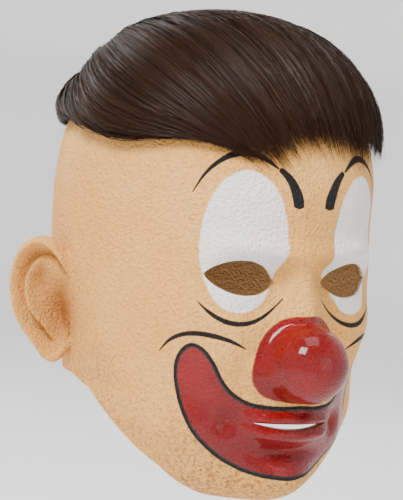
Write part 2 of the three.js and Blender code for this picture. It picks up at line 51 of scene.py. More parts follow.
# Level sections of the head form, as shares of HEAD_HEIGHT, half HEAD_WIDTH, FACE_DEPTH and
# NAPE_DEPTH
HEAD_SECTIONS = np.array([
    # down, side, front, back
    (0.000, 0.000, 0.000, 0.000),
    (0.010, 0.280, 0.240, 0.270),
    (0.040, 0.540, 0.480, 0.530),
    (0.090, 0.740, 0.690, 0.740),
    (0.160, 0.885, 0.860, 0.890),
    (0.240, 0.960, 0.955, 0.970),
    (0.330, 0.990, 1.000, 1.000),
    (0.430, 1.000, 1.015, 0.985),
    (0.520, 1.000, 1.000, 0.930),
    (0.610, 0.985, 0.985, 0.840),
    (0.700, 0.955, 0.965, 0.750),
    (0.790, 0.915, 0.950, 0.690),
    (0.870, 0.850, 0.935, 0.650),
    (0.930, 0.765, 0.905, 0.620),
    (0.975, 0.660, 0.850, 0.600),
    (1.005, 0.520, 0.730, 0.560),
    (1.018, 0.380, 0.570, 0.480),
    (1.022, 0.240, 0.400, 0.340),
])

# Lumps of the face: across and wide in eyes, down and tall in head heights, turn in degrees,
# rise in reliefs
LUMPS = [
    # across, down, wide, tall, turn, rise
    (0.75, 0.300, 0.95, 0.085, 0, 0.22),
    (0.80, 0.440, 0.62, 0.026, -6, 0.40),
    (1.45, 0.455, 0.45, 0.034, 25, 0.30),
    (0.00, 0.445, 0.40, 0.035, 0, 0.25),
    (0.98, 0.503, 0.60, 0.044, 0, -1.05),
    (0.46, 0.500, 0.24, 0.040, 0, -0.45),
    (1.00, 0.508, 0.46, 0.034, 0, 0.85),
    (0.95, 0.572, 0.60, 0.016, 6, -0.14),
    (1.55, 0.590, 0.70, 0.060, 20, 0.45),
    (1.15, 0.665, 0.50, 0.062, 10, 0.55),
    (1.95, 0.770, 0.50, 0.080, 0, -0.18),
    (2.10, 0.400, 0.60, 0.085, 0, -0.25),
    (0.00, 0.800, 0.95, 0.075, 0, 0.85),
    (1.06, 0.822, 0.20, 0.028, 0, -0.40),
    (0.00, 0.884, 0.62, 0.018, 0, -0.42),
    (0.00, 0.945, 0.66, 0.048, 0, 0.85),
    (1.45, 0.860, 0.50, 0.055, 0, 0.20),
    (2.45, 0.820, 0.50, 0.070, 0, 0.35),
    (0.52, 0.708, 0.26, 0.036, 0, 1.10),
]
# The nose wing is the last lump; the hollow leaves out this share of its rise
WING_WALL = 0.25

# The bridge of the nose, its ball and the lips: down and lips in head heights, across in eyes,
# rises in reliefs, and the ball's own sizes in millimetres
BRIDGE_ROOT, BRIDGE_TIP, BRIDGE_WIDE, BRIDGE_RISE = 0.48, 0.69, 0.28, 1.7
BALL_RADIUS, BALL_STAND, BALL_DOWN, BALL_FOOT = 20, 12, 0.68, 1.15
BALL_WRAP, BALL_SEAT = radians(100), 0.97
BALL_BLEND = 0.78, 1.15
MOUTH_DOWN, MOUTH_HALF, MOUTH_LIFT = 0.822, 0.95, 0.010
UPPER_LIP, UPPER_RISE, LOWER_LIP, LOWER_RISE = 0.034, 0.36, 0.044, 0.44
LIP_PARTING, LIP_PARTING_TALL = 0.12, 0.007
LIP_BOW, LIP_BOW_ASIDE, LIP_DIP = 0.12, 0.2, 0.14
EYES_ACROSS, EYES_DOWN = 1.0, 0.503
EYE_LEVEL = -EYES_DOWN * HEAD_HEIGHT

# Openings in millimetres, and the tilt of the eye holes
EYE_HOLE_WIDTH, EYE_HOLE_UPPER, EYE_HOLE_LOWER, EYE_HOLE_TILT = 36, 9.5, 8.5, radians(4)
MOUTH_GAP_WIDTH, MOUTH_GAP = 46, 3.5
EAR_SLOT_WIDTH, EAR_SLOT_HEIGHT = 3.4, 9

# The mask's lower edge from the side: shares of FACE_DEPTH forward and HEAD_HEIGHT down
EDGE = [(-3, 0.772), (-0.1, 0.772), (0.1, 0.795), (0.5, 0.945), (0.56, 0.99), (0.56, 1.5), (-3, 1.5)]

# Ears in millimetres; EAR_TURN is from straight ahead, EAR_DOWN in head heights
EAR_HEIGHT, EAR_WIDTH, EAR_THICKNESS = 68, 42, 5.5
EAR_STAND_OFF, EAR_LEAN = radians(34), radians(8)
EAR_TURN, EAR_DOWN, EAR_SUNK = radians(94), 0.6, 0.3
EAR_OUTLINE = [
    # turn in degrees from the top towards the back of the head, reach as a share of half the size
    (0, 0.98), (40, 1.06), (80, 1.04), (120, 0.88), (155, 0.86), (185, 1.0), (215, 0.8),
    (260, 0.7), (310, 0.82),
]
# Ridges round the ear: height in ear thicknesses, place as a share of the reach, half width
EAR_RIM, EAR_GROOVE, EAR_FOLD = (1.05, 0.9, 0.1), (-0.75, 0.74, 0.08), (0.95, 0.56, 0.1)
EAR_BOWL, EAR_TRAGUS, EAR_ROOT = 2.4, 0.9, 2.6
EAR_COLUMNS, EAR_ROWS = 72, 34
EAR_BACK_SHARES = 1, 0.985, 0.96, 0.92, 0.85, 0.75, 0.6, 0.45, 0.3, 0.15, 0.05

# How finely the head is meshed: columns round it, and rows down to each level
SKIN_COLUMNS, SKIN_BANDS = 300, [(0.3, 34), (0.6, 76), (0.86, 84), (1, 20)]
HOLLOW_COLUMNS, HOLLOW_BANDS = 110, [(0.3, 14), (0.86, 44), (1, 8)]
FIRST_LEVEL = 0.004


def fade(value, low, high):
    """0 below low, 1 above high and smooth between."""
    share = np.clip((value - low) / (high - low), 0, 1)
    return share * share * (3 - 2 * share)


def bell(across, along, wide, tall):
    """A bell of height 1 over an ellipse."""
    return np.exp(-((across / wide) ** 2) - (along / tall) ** 2)


def smooth_curve(knots, values, at, level_start=False):
    """A smooth curve through values at knots, level at its start when asked."""
    knots = np.asarray(knots, float)
    values = np.asarray(values, float)
    gaps = np.diff(knots)
    rises = (np.diff(values, axis=0).T / gaps).T
    count = len(knots)
    grid = np.zeros((count, count))
    right = np.zeros_like(values)
    grid[0, 0] = grid[-1, -1] = 1
    if level_start:
        grid[0, :2] = 2 * gaps[0], gaps[0]
        right[0] = 6 * rises[0]
    for i in range(1, count - 1):
        grid[i, i - 1:i + 2] = gaps[i - 1], 2 * (gaps[i - 1] + gaps[i]), gaps[i]
        right[i] = 6 * (rises[i] - rises[i - 1])
    bend = np.linalg.solve(grid, right)
    i = np.clip(np.searchsorted(knots, at) - 1, 0, count - 2)
    t = at - knots[i]
    gap = gaps[i]
    if values.ndim > 1:
        t, gap = t[..., None], gap[..., None]
    slope = rises[i] - gap * (2 * bend[i] + bend[i + 1]) / 6
    return values[i] + t * (slope + t * (bend[i] / 2 + t * (bend[i + 1] - bend[i]) / (6 * gap)))


def section_levels():
    """The level of each section, in step with the length of the head's outline."""
    down, side, front = HEAD_SECTIONS[:, 0], HEAD_SECTIONS[:, 1], HEAD_SECTIONS[:, 2]
    reach = side * HEAD_WIDTH / 4 + front * FACE_DEPTH / 2
    steps = np.hypot(np.diff(down * HEAD_HEIGHT), np.diff(reach))
    length = np.concatenate([[0], np.cumsum(steps)])
    return length / length[-1], length[-1]


LEVELS, HEAD_LENGTH = section_levels()


def plain_point(angle, level):
    """A point of the plain head; angle is from straight ahead towards the mask's left."""
    down = smooth_curve(LEVELS, HEAD_SECTIONS[:, 0], level, True) * HEAD_HEIGHT
    side = smooth_curve(LEVELS, HEAD_SECTIONS[:, 1], level) * HEAD_WIDTH / 2
    front = smooth_curve(LEVELS, HEAD_SECTIONS[:, 2], level) * FACE_DEPTH
    back = smooth_curve(LEVELS, HEAD_SECTIONS[:, 3], level) * NAPE_DEPTH
    sine, cosine = np.sin(angle), np.cos(angle)
    depth = np.maximum(np.where(cosine > 0, front, back), 1e-6)
    radius = 1 / np.hypot(sine / np.maximum(side, 1e-6), cosine / depth)
    return np.stack([radius * sine, -radius * cosine, -down], -1)


def unit(vectors):
    """Vectors made one long."""
    return vectors / np.maximum(np.linalg.norm(vectors, axis=-1, keepdims=True), 1e-12)


def plain_normal(angle, level):
    """The way out of the plain head."""
    step = 1e-3
    round_head = plain_point(angle + step, level) - plain_point(angle - step, level)
    drop = plain_point(angle, np.minimum(level + step, 1)) - plain_point(
        angle, np.maximum(level - step, 0))
    return unit(np.cross(drop, round_head))


def face_rise(across, down):
    """The height of the face over the plain head, without its lips and ball."""
    away = np.abs(across)
    rise = 0
    for lump_across, lump_down, wide, tall, turn, height in LUMPS:
        x = (away - lump_across) * EYE
        y = (down - lump_down) * HEAD_HEIGHT
        turn = radians(turn)
        along = x * cos(turn) + y * sin(turn)
        upright = y * cos(turn) - x * sin(turn)
        rise = rise + height * bell(along, upright, wide * EYE, tall * HEAD_HEIGHT)
    along = np.clip((down - BRIDGE_ROOT) / (BRIDGE_TIP - BRIDGE_ROOT), 0, 1)
    starts = fade(down, BRIDGE_ROOT - 0.05, BRIDGE_ROOT + 0.02)
    ends = 1 - fade(down, BRIDGE_TIP + 0.015, BRIDGE_TIP + 0.055)
    wide = BRIDGE_WIDE * (0.9 + 0.35 * along)
    bridge = BRIDGE_RISE * (0.12 + 0.88 * along ** 1.15) * starts * ends * bell(away, 0, wide, 1)
    return (rise + bridge) * RELIEF


def mouth_down(away):
    """The mouth's line rises a little towards its corners."""
    return MOUTH_DOWN - MOUTH_LIFT * np.minimum(away / MOUTH_HALF, 1.5) ** 2


def lip_rise(across, down):
    """The rise of the lips."""
    away = np.abs(across)
    share = away / MOUTH_HALF
    above = mouth_down(away) - down
    full = np.sqrt(np.maximum(1 - share * share, 0))
    bow = 1 + LIP_BOW * bell(away - LIP_BOW_ASIDE, 0, 0.16, 1) - LIP_DIP * bell(away, 0, 0.13, 1)
    upper = above / (UPPER_LIP * (0.3 + 0.7 * full) * bow)
    lower = -above / (LOWER_LIP * (0.25 + 0.75 * full))

    def roll(edge):
        return (1 - fade(edge, 0.5, 1.15)) * (0.45 + 0.55 * fade(edge, 0, 0.5))

    lip = np.where(above > 0, UPPER_RISE * roll(upper), LOWER_RISE * roll(lower))
    line = -LIP_PARTING * np.exp(-((above / LIP_PARTING_TALL) ** 2))
    return (lip + line) * (1 - fade(share, 0.45, 1.02)) * RELIEF


def face_share(angle, level):
    """Where the face's relief counts: not at the back of the head, nor under the chin."""
    return (1 - fade(np.abs(angle), 1.75, 2.3)) * (1 - fade(level, 0.9, 0.97))


def skin_point(angle, level):
    """The outside of the latex."""
    point = plain_point(angle, level)
    across = angle * FACE_DEPTH / EYE
    down = -point[..., 2] / HEAD_HEIGHT
    rise = (face_rise(across, down) + lip_rise(across, down)) * face_share(angle, level)
    point = point + plain_normal(angle, level) * rise[..., None]
    aside = across * EYE
    above = (BALL_DOWN - down) * HEAD_HEIGHT
    away = np.hypot(aside, above)
    share = away / (BALL_FOOT * BALL_RADIUS)
    on_ball = np.where(level < 0.9, 1 - fade(share, *BALL_BLEND), 0)[..., None]
    turn = np.minimum(share, 1) * BALL_WRAP
    out = BALL_RADIUS * np.sin(turn) / np.maximum(away, 1e-9)
    centre = -(FACE_DEPTH * BALL_SEAT + BALL_STAND)
    ball = np.stack([out * aside, centre - BALL_RADIUS * np.cos(turn),
                     -BALL_DOWN * HEAD_HEIGHT + out * above], -1)
    return point * (1 - on_ball) + ball * on_ball


def hollow_point(angle, level):
    """The inside of the latex, which leaves out the lips and the ball."""
    point = plain_point(angle, level)
    across, down = angle * FACE_DEPTH / EYE, -point[..., 2] / HEAD_HEIGHT
    wing_across, wing_down, wide, tall, _, wing_rise = LUMPS[-1]
    wing = wing_rise * bell((np.abs(across) - wing_across) * EYE, (down - wing_down) * HEAD_HEIGHT,
                            wide * EYE, tall * HEAD_HEIGHT)
    rise = face_rise(across, down) - WING_WALL * wing * RELIEF
    rise = rise * face_share(angle, level) - LATEX
    return point + plain_normal(angle, level) * rise[..., None]


def mesh_object(name, points, faces):
    """A smooth mesh object from points in millimetres from the outside of the crown."""
    mesh = bpy.data.meshes.new(name)
    lifted = (np.asarray(points) + (0, 0, LATEX)) * MILLIMETRE
    mesh.from_pydata(lifted.tolist(), [], faces)
    mesh.validate()
    mesh.shade_smooth()
    piece = bpy.data.objects.new(name, mesh)
    bpy.context.scene.collection.objects.link(piece)
    return piece


def loft(name, rings):
    """A closed skin through rings of points, fanned shut at both ends."""
    rings = np.asarray(rings)
    rows, count = rings.shape[:2]
    index = np.arange(rows * count).reshape(rows, count)
    beside = np.roll(index, -1, 1)
    quads = np.stack([index[:-1], beside[:-1], beside[1:], index[1:]], -1).reshape(-1, 4)
    start, end = rows * count, rows * count + 1
    caps = [[start, beside[0, j], index[0, j]] for j in range(count)]
    caps += [[end, index[-1, j], beside[-1, j]] for j in range(count)]
    points = np.concatenate([rings.reshape(-1, 3), [rings[0].mean(0), rings[-1].mean(0)]])
    return mesh_object(name, points, quads.tolist() + caps)


def head_loft(name, point_at, columns, bands):
    """The head form as a closed skin, finest across the face."""
    u = 1 - 2 * np.arange(columns) / columns
    angles = pi * (0.42 * u + 0.58 * u ** 3)
    levels, start = [np.array([FIRST_LEVEL])], FIRST_LEVEL
    for end, rows in bands:
        levels.append(np.linspace(start, end, rows + 1)[1:])
        start = end
    angle, level = np.meshgrid(angles, np.concatenate(levels))
    return loft(name, point_at(angle, level))


def joined(piece, other, how):
    """The union or difference of two closed skins; the other one is used up."""
    cut = piece.modifiers.new("join", "BOOLEAN")
    cut.operation, cut.object, cut.solver = how, other, "MANIFOLD"
    depsgraph = bpy.context.evaluated_depsgraph_get()
    made = bpy.data.meshes.new_from_object(piece.evaluated_get(depsgraph))
    piece.modifiers.clear()
    piece.data = made
    bpy.data.objects.remove(other)


def through_face(name, outline, x, z, turn=0):
    """A flat outline pushed through along Y."""
    flat = [Matrix.Rotation(turn, 2) @ Vector(corner) for corner in outline]
    rings = [[(x + c.x, y, z + c.y) for c in flat] for y in (-FACE_DEPTH / 3, -FACE_DEPTH * 2)]
    return loft(name, rings)


def arc(start, control, end, steps=24):
    """Points along a bowed line, without its end."""
    t = np.arange(steps)[:, None] / steps
    start, control, end = map(np.array, (start, control, end))
    return ((1 - t) ** 2 * start + 2 * t * (1 - t) * control + t * t * end).tolist()


def almond(width, upper, lower):
    """The outline of an eye hole: two full arcs between its corners."""
    t = np.linspace(0, 1, 25)[:-1]
    swell = 4 * t * (1 - t)
    x = np.where(t < 0.5, -1, 1) * 0.5 * (1 - (1 - np.abs(2 * t - 1)) ** 1.25)
    top = np.stack([-x * width, upper * swell], 1)
    bottom = np.stack([x * width, -lower * swell], 1)
    return bottom.tolist() + top.tolist()


def eye_hole(side):
    """The hole for one eye."""
    aside = FACE_DEPTH * sin(EYES_ACROSS * EYE / FACE_DEPTH)
    outline = almond(EYE_HOLE_WIDTH, EYE_HOLE_UPPER, EYE_HOLE_LOWER)
    return through_face("eye_hole", outline, side * aside, EYE_LEVEL, side * EYE_HOLE_TILT)


def mouth_gap():
    """The parting of the lips."""
    half = MOUTH_GAP_WIDTH / 2
    rise = MOUTH_LIFT * HEAD_HEIGHT * (half / (MOUTH_HALF * EYE)) ** 2
    outline = arc((-half, rise), (0, -rise - MOUTH_GAP), (half, rise))
    outline += arc((half, rise), (0, -rise + MOUTH_GAP), (-half, rise))
    return through_face("mouth_gap", outline, 0, -MOUTH_DOWN * HEAD_HEIGHT)


def below_edge():
    """All that lies below the mask's lower edge."""
    profile = [(-forward * FACE_DEPTH, -down * HEAD_HEIGHT) for forward, down in EDGE]
    rings = [[(x, y, z) for y, z in profile] for x in (-HEAD_WIDTH, HEAD_WIDTH)]
    return loft("below_edge", rings)


def ear_axes(side):
    """Forward along the ear, up along it and out of its front."""
    level = np.array([-side * sin(EAR_STAND_OFF), -cos(EAR_STAND_OFF), 0])
    upright = np.array([0, 0, 1])
    up = upright * cos(EAR_LEAN) - level * sin(EAR_LEAN)
    forward = level * cos(EAR_LEAN) + upright * sin(EAR_LEAN)
    return forward, up, np.array([side * cos(EAR_STAND_OFF), -sin(EAR_STAND_OFF), 0])


def level_at(down):
    """The level at which the head has come down so far."""
    levels = np.linspace(0, 0.9, 2000)
    downs = smooth_curve(LEVELS, HEAD_SECTIONS[:, 0], levels, True)
    return levels[np.searchsorted(downs, down)]


def ear_centre(side):
    """The middle of the ear, so set that its front edge is sunk in the head."""
    seat = plain_point(np.array(side * EAR_TURN), np.array(level_at(EAR_DOWN)))
    return seat - ear_axes(side)[0] * EAR_SUNK * EAR_WIDTH


def ear_rise(share, turn, forward, up):
    """The front of the ear over its middle plane: rim, groove, fold, bowl and tragus."""
    on_rim = fade(np.cos(turn - radians(60)), -0.75, -0.2)
    on_fold = fade(np.cos(turn - radians(95)), -0.1, 0.45)

    def ridge(height, place, half_width):
        return height * bell(share - place, 0, half_width, 1)

    ridges = on_rim * (ridge(*EAR_RIM) + ridge(*EAR_GROOVE)) + on_fold * ridge(*EAR_FOLD)
    bowl = EAR_BOWL * bell(forward - 0.1, up + 0.1, 0.3, 0.24)
    tragus = EAR_TRAGUS * bell(forward - 0.3, up + 0.16, 0.12, 0.1)
    return (0.5 * share * share + ridges - bowl + tragus) * EAR_THICKNESS


def ear(side):
    """One ear as a closed skin."""
    turns = side * np.arange(EAR_COLUMNS) * 2 * pi / EAR_COLUMNS
    rows = np.array(EAR_OUTLINE, float)
    lapped = np.concatenate([rows + (360 * lap, 0) for lap in (-1, 0, 1)])
    reach = smooth_curve(np.radians(lapped[:, 0]), lapped[:, 1], turns)
    forward_axis, up_axis, out_axis = ear_axes(side)
    centre = ear_centre(side)
    rings = []
    front = [(share, True) for share in np.linspace(0.03, 0.98, EAR_ROWS)]
    back = [(share, False) for share in EAR_BACK_SHARES]
    for share, facing in front + back:
        forward = -np.sin(turns) * reach * share * 0.5
        up = np.cos(turns) * reach * share * 0.5
        height = ear_rise(share, turns, forward, up)
        if not facing:
            thick = EAR_THICKNESS * (0.9 * np.sqrt(1 - share ** 6) + 0.25)
            root = EAR_ROOT * EAR_THICKNESS * bell(forward - 0.2, up + 0.05, 0.22, 0.3)
            height = np.minimum(height, 0.3 * EAR_THICKNESS) - thick - root
        rings.append(centre + np.outer(forward * EAR_WIDTH, forward_axis)
                     + np.outer(up * EAR_HEIGHT, up_axis) + np.outer(height, out_axis))
    return loft("ear", rings)


def ear_slot(side):
    """The hearing slot behind the tragus."""
    forward, up, _ = ear_axes(side)
    centre = ear_centre(side) + forward * 0.14 * EAR_WIDTH - up * 0.24 * EAR_HEIGHT
    turn = np.arange(24) * 2 * pi / 24
    half = (EAR_SLOT_HEIGHT - EAR_SLOT_WIDTH) / 2
    y = np.cos(turn) * EAR_SLOT_WIDTH / 2
    z = np.sin(turn) * EAR_SLOT_WIDTH / 2 + np.sign(np.sin(turn) + 1e-9) * half
    rings = [np.stack([centre[0] + x + 0 * y, centre[1] + y, centre[2] + z], 1)
             for x in (-FACE_DEPTH / 2, FACE_DEPTH / 2)]
    return loft("ear_slot", rings)


def corners_of(piece):
    """The vertex positions of a piece."""
    points = np.empty(len(piece.data.vertices) * 3)
    piece.data.vertices.foreach_get("co", points)
    return points.reshape(-1, 3)


def tree_of(points):
    """Points sorted so that the nearest one is found fast."""
    tree = KDTree(len(points))
    for number, point in enumerate(points):
        tree.insert(point, number)
    tree.balance()
    return tree


def soften_joins(piece, others, reach):
    """Rounds the crease where an ear meets the head; others are the points before the join."""
    mesh = piece.data
    points = corners_of(piece)
    tree = tree_of(others)
    near = (np.abs(points[:, 0]) > 0.058) & (np.abs(points[:, 1]) < 0.05)
    seam = [i for i in np.flatnonzero(near) if tree.find(points[i])[2] > 1e-6]
    edges = np.empty(len(mesh.edges) * 2, int)
    mesh.edges.foreach_get("vertices", edges)
    edges = edges.reshape(-1, 2)
    close = np.zeros(len(points))
    close[seam] = 1
    for _ in range(reach):
        spread = close.copy()
        np.maximum.at(spread, edges[:, 0], close[edges[:, 1]] * 0.8)
        np.maximum.at(spread, edges[:, 1], close[edges[:, 0]] * 0.8)
        close = spread
    for _ in range(8):
        total = np.zeros_like(points)
        count = np.zeros(len(points))
        for a, b in ((0, 1), (1, 0)):
            np.add.at(total, edges[:, a], points[edges[:, b]])
            np.add.at(count, edges[:, a], 1)
        middle = total / np.maximum(count, 1)[:, None]
        points += (middle - points) * (0.6 * close)[:, None]
    mesh.vertices.foreach_set("co", points.reshape(-1))
    mesh.update()


def latex_skin():
    """The whole mask in one piece of latex."""
    mask = head_loft("painted_latex", skin_point, SKIN_COLUMNS, SKIN_BANDS)
    originals = corners_of(mask)
    for side in (-1, 1):
        one = ear(side)
        originals = np.concatenate([originals, corners_of(one)])
        joined(mask, one, "UNION")
    soften_joins(mask, originals, 5)
    hollow = head_loft("hollow", hollow_point, HOLLOW_COLUMNS, HOLLOW_BANDS)
    joined(mask, hollow, "DIFFERENCE")
    for cutter in (mouth_gap(), below_edge(), eye_hole(-1), eye_hole(1), ear_slot(-1), ear_slot(1)):
        joined(mask, cutter, "DIFFERENCE")
    mask.data.shade_smooth()
    mask.data.set_sharp_from_angle(angle=radians(50))
    return mask


# Painted shapes on the unrolled face: eyes aside from its middle, and eyes above their level.
# The white is an egg round each eye; the grin is a crescent along the lips with round ends.
WHITE_PATCH = [
    (0.42, 0.45), (0.48, 1.0), (0.72, 1.48), (1.1, 1.66), (1.48, 1.48), (1.72, 1.0),
    (1.78, 0.45), (1.64, -0.1), (1.36, -0.44), (1.1, -0.52), (0.84, -0.44), (0.56, -0.1),
]
RED_GRIN = [
    (0, -1.94), (0.5, -1.96), (0.95, -1.86), (1.28, -1.56), (1.5, -1.22), (1.76, -1.08),
    (1.96, -1.28), (1.96, -1.75), (1.72, -2.28), (1.3, -2.68), (0.7, -2.96), (0, -3.06),
]
NOSE_PAINT = [
    (0, -0.5), (0.3, -0.54), (0.54, -0.7), (0.72, -0.96), (0.8, -1.25), (0.8, -1.52),
    (0.64, -1.74), (0.32, -1.84), (0, -1.86),
]
# aside and above in eyes, and half the width of the brush's mark in millimetres
BROW_ARC = [
    (0.62, 1.7, 0.3), (0.84, 1.84, 1.3), (1.14, 1.92, 1.7), (1.48, 1.82, 1.4), (1.78, 1.56, 0.8),
    (1.98, 1.22, 0.2),
]
BROW_STROKE = [
    (0.62, 1.71, 1.2), (0.48, 1.6, 2), (0.36, 1.42, 2.7), (0.29, 1.22, 3.1), (0.28, 1.12, 2.7),
]
UNDER_EYE_LINE = [
    (0.36, -0.26, 0.2), (0.66, -0.54, 0.8), (1.04, -0.68, 1.2), (1.42, -0.6, 1.1), (1.74, -0.38, 0.2),
]
CHEEK_STROKE = [
    (0.92, -1.06, 0.2), (1.2, -0.94, 1), (1.52, -0.88, 1.3), (1.86, -0.9, 1.2), (2.14, -1.04, 0.8),
    (2.32, -1.24, 0.2),
]


def along_curve(rows, steps):
    """Points along a smooth curve through rows."""
    rows = np.array(rows, float)
    rows[:, :2] *= EYE
    length = np.concatenate([[0], np.cumsum(np.hypot(*np.diff(rows[:, :2], axis=0).T))])
    return smooth_curve(length, rows, np.linspace(0, length[-1], steps))


def to_line(places, line):
    """Offset to the side of a line from each place, and where along it the nearest point is."""
    best = np.full(len(places), 1e9)
    offset = np.full(len(places), 1e9)
    along = np.zeros(len(places))
    for i, (a, b) in enumerate(zip(line[:-1], line[1:])):
        way = b - a
        share = np.clip((places - a) @ way / (way @ way), 0, 1)
        gap = places - a - share[:, None] * way
        far = np.hypot(gap[:, 0], gap[:, 1])
        near = far < best
        best[near] = far[near]
        sign = np.sign(way[0] * gap[near, 1] - way[1] * gap[near, 0])
        offset[near] = sign * far[near]
        along[near] = i + share[near]
    return best, offset, along


def inside_by(places, outline):
    """How far inside a closed outline each place lies; negative outside."""
    ring = np.concatenate([outline, outline[:1]])
    best, _, _ = to_line(places, ring)
    within = np.zeros(len(places), bool)
    for a, b in zip(ring[:-1], ring[1:]):
        crosses = (a[1] > places[:, 1]) != (b[1] > places[:, 1])
        at = a[0] + (places[:, 1] - a[1]) * (b[0] - a[0]) / (b[1] - a[1] + 1e-12)
        within ^= crosses & (places[:, 0] < at)
    return np.where(within, best, -best)


def mirrored(rows):
    """A half outline that starts and ends in the middle, made whole."""
    curve = along_curve(rows, 90)
    other = curve[::-1] * (-1, 1)
    return np.concatenate([curve, other[1:-1]])


def closed_curve(rows):
    """A smooth closed outline through rows."""
    lapped = along_curve(rows[-3:] + rows + rows[:3], 220)
    from_first = np.hypot(*(lapped - np.array(rows[0]) * EYE).T)
    middle = len(lapped) // 2
    return lapped[np.argmin(from_first[:middle]):middle + np.argmin(from_first[middle:])]


# Under this many millimetres from the hollow, a point counts as the inside of the wall
INNER_REACH = 1.7
# The make-up stays within this angle of straight ahead, in radians
PAINTED_ANGLE = 1.25
# What stands for far outside a painted shape or line, in millimetres
FAR_OUT = 50.0


def depth_in_wall(points):
    """How near the inside of the wall each point lies: over 0 for the inside itself."""
    angle, level = np.meshgrid(np.linspace(-pi, pi, 361), np.linspace(0.003, 1, 140))
    places = hollow_point(angle, level).reshape(-1, 3)
    tree = tree_of(places)
    return INNER_REACH - np.array([tree.find(point)[2] for point in points])


def ear_shade(points, normals):
    """How much painted shade lies in the bowl and the upper scoop of either ear, where shade falls."""
    shade = np.zeros(len(points))
    for side in (-1, 1):
        forward_axis, up_axis, out_axis = ear_axes(side)
        local = points - ear_centre(side)
        forward, up = local @ forward_axis / EAR_WIDTH, local @ up_axis / EAR_HEIGHT
        beside_head = points[:, 0] * side > 70
        facing = fade(normals @ out_axis, -0.1, 0.5) * beside_head
        bowl = bell(forward - 0.08, up + 0.1, 0.26, 0.22)
        scoop = 0.5 * bell(forward + 0.14, up - 0.2, 0.16, 0.2)
        shade = np.maximum(shade, facing * np.maximum(bowl, scoop))
    return shade


def paint_fields(mask):
    """Stores on the points how deep each lies in each painted shape, in millimetres."""
    mesh = mask.data
    points = corners_of(mask) / MILLIMETRE - (0, 0, LATEX)
    normals = np.empty(len(points) * 3)
    mesh.vertices.foreach_get("normal", normals)
    normals = normals.reshape(-1, 3)
    angle = np.arctan2(points[:, 0], -points[:, 1])
    places = np.stack([np.abs(angle) * FACE_DEPTH, points[:, 2] - EYE_LEVEL], 1)
    signed = places * np.stack([np.sign(angle), np.ones(len(angle))], 1)
    front = np.abs(angle) < PAINTED_ANGLE
    fields = {
        "inside": depth_in_wall(points),
        "low": -points[:, 2] / HEAD_HEIGHT,
        "aside": places[:, 0] / FACE_DEPTH,
        "ear_shade": ear_shade(points, normals),
    }
    shapes = {
        "white": closed_curve(WHITE_PATCH),
        "grin": mirrored(RED_GRIN),
        "nose": mirrored(NOSE_PAINT),
    }
    for name, outline in shapes.items():
        depth = np.full(len(points), -FAR_OUT)
        where = places if name == "white" else signed
        depth[front] = inside_by(where[front], outline)
        fields[name] = depth
    lines = {"arc": BROW_ARC, "stroke": BROW_STROKE, "lower": UNDER_EYE_LINE, "cheek": CHEEK_STROKE}
    for name, rows in lines.items():
        curve = along_curve(rows, 50)
        _, offset, along = to_line(places[front], curve[:, :2])
        width = np.interp(along, np.arange(len(curve)), curve[:, 2])
        ends = (along < 1e-6) | (along > len(curve) - 1 - 1e-6)
        off = np.full(len(points), FAR_OUT)
        wide = np.zeros(len(points))
        off[front] = offset
        wide[front] = np.where(ends, -1, width)
        fields[name + "_off"] = off
        fields[name + "_wide"] = wide
    for name, values in fields.items():
        mesh.attributes.new(name, "FLOAT", "POINT").data.foreach_set("value", values)


class Value:
    """A number in a material, so that its maths is written as it reads."""

    def __init__(self, paint, socket):
        self.paint, self.socket = paint, socket

    def maths(self, operation, *others):
        values = [v.socket if isinstance(v, Value) else v for v in others]
        return self.paint.add("ShaderNodeMath", {"operation": operation}, dict(enumerate(values)))

    def __add__(self, other):
        return self.maths("ADD", self, other)

    def __sub__(self, other):
        return self.maths("SUBTRACT", self, other)

    def __rsub__(self, other):
        return self.maths("SUBTRACT", other, self)

    def __mul__(self, other):
        return self.maths("MULTIPLY", self, other)

    def __abs__(self):
        return self.maths("ABSOLUTE", self)

    __radd__, __rmul__ = __add__, __mul__

    def ramp(self, low, high):
        """0 at low and 1 at high, held beyond them."""
        limits = {0: self.socket, 1: low, 2: high}
        return self.paint.add("ShaderNodeMapRange", {"interpolation_type": "SMOOTHSTEP"}, limits)

    def either(self, other):
        return self.maths("MAXIMUM", self, other)


class Finish:
    """A material and the nodes that make it."""

    def __init__(self, name):
        self.material = bpy.data.materials.new(name)
        self.material.use_nodes = True
        self.tree = self.material.node_tree
        self.shader = self.tree.nodes["Principled BSDF"]

    def add(self, kind, settings=None, sockets=None, output=0):
        """One node; its settings are set first, then its sockets' values or links."""
        node = self.tree.nodes.new(kind)
        for name, value in (settings or {}).items():
            setattr(node, name, value)
        self.feed(node, sockets or {})
        return Value(self, node.outputs[output])

    def feed(self, node, sockets):
        for name, value in sockets.items():
            value = value.socket if isinstance(value, Value) else value
            if isinstance(value, bpy.types.NodeSocket):
                self.tree.links.new(value, node.inputs[name])
            else:
                node.inputs[name].default_value = value

    def field(self, name):
        """A value stored on the piece's points."""
        return self.add("ShaderNodeAttribute", {"attribute_name": name}, output="Fac")

    def place(self):
        return self.add("ShaderNodeTexCoord", output="Object")

    def noise(self, per_metre, detail=2, roughness=0.5):
        sockets = {"Vector": self.place(), "Scale": per_metre, "Detail": detail, "Roughness": roughness}
        return self.add("ShaderNodeTexNoise", {}, sockets)

    def mix(self, share, under, over):
        """The colour under, covered by the colour over as far as share says."""
        settings = {"data_type": "RGBA", "blend_type": "MIX"}
        return self.add("ShaderNodeMix", settings, {0: share, 6: under, 7: over}, output=2)

    def set(self, **sockets):
        named = {name.replace("_", " "): value for name, value in sockets.items()}
        self.feed(self.shader, named)
        return self.material


def colour(red, green, blue):
    return (red, green, blue, 1)


